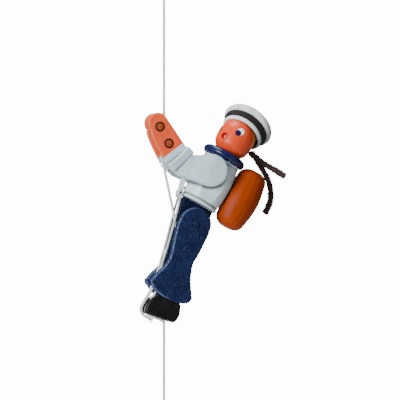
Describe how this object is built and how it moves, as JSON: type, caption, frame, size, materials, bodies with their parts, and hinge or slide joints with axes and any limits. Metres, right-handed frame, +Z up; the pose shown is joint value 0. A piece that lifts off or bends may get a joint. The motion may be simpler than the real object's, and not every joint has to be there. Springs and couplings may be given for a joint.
{
  "type": "climbing toy",
  "caption": "Wooden sailor doll that climbs a hanging cord: hands grip it between dowels, hinged legs wrap it, an elastic loop draws them up.",
  "frame": {"origin": "the top of the hanging ring's hole, where a hook holds the cord", "axes": "+Z up along the cord, -X the way the doll faces, -Y its left side"},
  "size_m": [0.1295, 0.0488, 0.3803],
  "materials": {
    "skin_paint": "satin paint, white at the wrist",
    "face_gloss": "gloss paint",
    "white_paint": "satin paint",
    "navy_paint": "satin paint, rubbed lighter at the edges",
    "navy_gloss": "gloss paint",
    "shoe_black": "satin paint",
    "black_felt": "fuzzy felt and yarn",
    "cap_white": "matt paint",
    "red_brown_stain": "stained and varnished",
    "bare_beech": "unpainted",
    "braided_cord": "braided",
    "white_elastic": "round elastic",
    "steel_wire": "bright wire",
    "brass_wire": "bright wire"
  },
  "bodies": {
    "cord_line": {"hanging_ring": "brass_wire", "cord_eye": "braided_cord", "top_knot": "braided_cord", "upper_cord": "braided_cord", "lower_cord": "braided_cord", "pull_ball": "red_brown_stain", "bottom_knot": "braided_cord"},
    "grip": {"grip_cord": "braided_cord"},
    "figure": {"torso": "white_paint", "pelvis": "navy_paint", "waist_dowel": "bare_beech", "shoulder_dowel": "bare_beech", "left_upper_arm": "white_paint", "right_upper_arm": "white_paint", "left_cuff": "white_paint", "right_cuff": "white_paint", "left_hand": "skin_paint", "right_hand": "skin_paint", "upper_grip_dowel": "bare_beech", "lower_grip_dowel": "bare_beech", "collar_ring": "navy_gloss", "neck_dowel": "bare_beech", "backpack": "red_brown_stain", "lower_pack_dowel": "bare_beech", "upper_pack_dowel": "bare_beech", "chest_block": "white_paint", "block_peg": "bare_beech", "elastic_nail": "steel_wire", "elastic_loop": "white_elastic", "middle_cord": "braided_cord"},
    "legs": {"left_leg": "navy_paint", "right_leg": "navy_paint", "hip_dowel": "bare_beech", "guide_dowel": "bare_beech", "left_shoe": "shoe_black", "right_shoe": "shoe_black", "toe_staple": "steel_wire"},
    "head": {"head": "face_gloss", "cap_lip": "cap_white", "cap_band": "black_felt", "cap_crown": "cap_white", "left_ribbon": "black_felt", "right_ribbon": "black_felt"}
  },
  "joints": [
    {"name": "climb", "type": "slide", "parent": "cord_line", "child": "grip", "axis": [0, 0, 1], "range_m": [-0.06, 0.08], "deforming": ["upper_cord", "lower_cord"]},
    {"name": "body_tilt", "type": "hinge", "parent": "grip", "child": "figure", "pos_m": [-0.00185, 0, -0.1328], "axis": [0, -1, 0], "range_deg": [-5, 20], "stiffness_Nm_per_rad": 0.1, "springref_deg": 25.27, "deforming": ["grip_cord"]},
    {"name": "hip_swing", "type": "hinge", "parent": "figure", "child": "legs", "pos_m": [0.02457, 0, -0.2067], "axis": [0, 1, 0], "range_deg": [-9.6, 38.4], "deforming": ["middle_cord", "elastic_loop"]},
    {"name": "head_turn", "type": "hinge", "parent": "figure", "child": "head", "pos_m": [0.05189, 0, -0.15069], "axis": [0.5519, 0, 0.8339], "range_deg": [-91, 19]}
  ],
  "couplings": [
    {"joint": "hip_swing", "follows": "body_tilt", "ratio": 1.915}
  ]
}
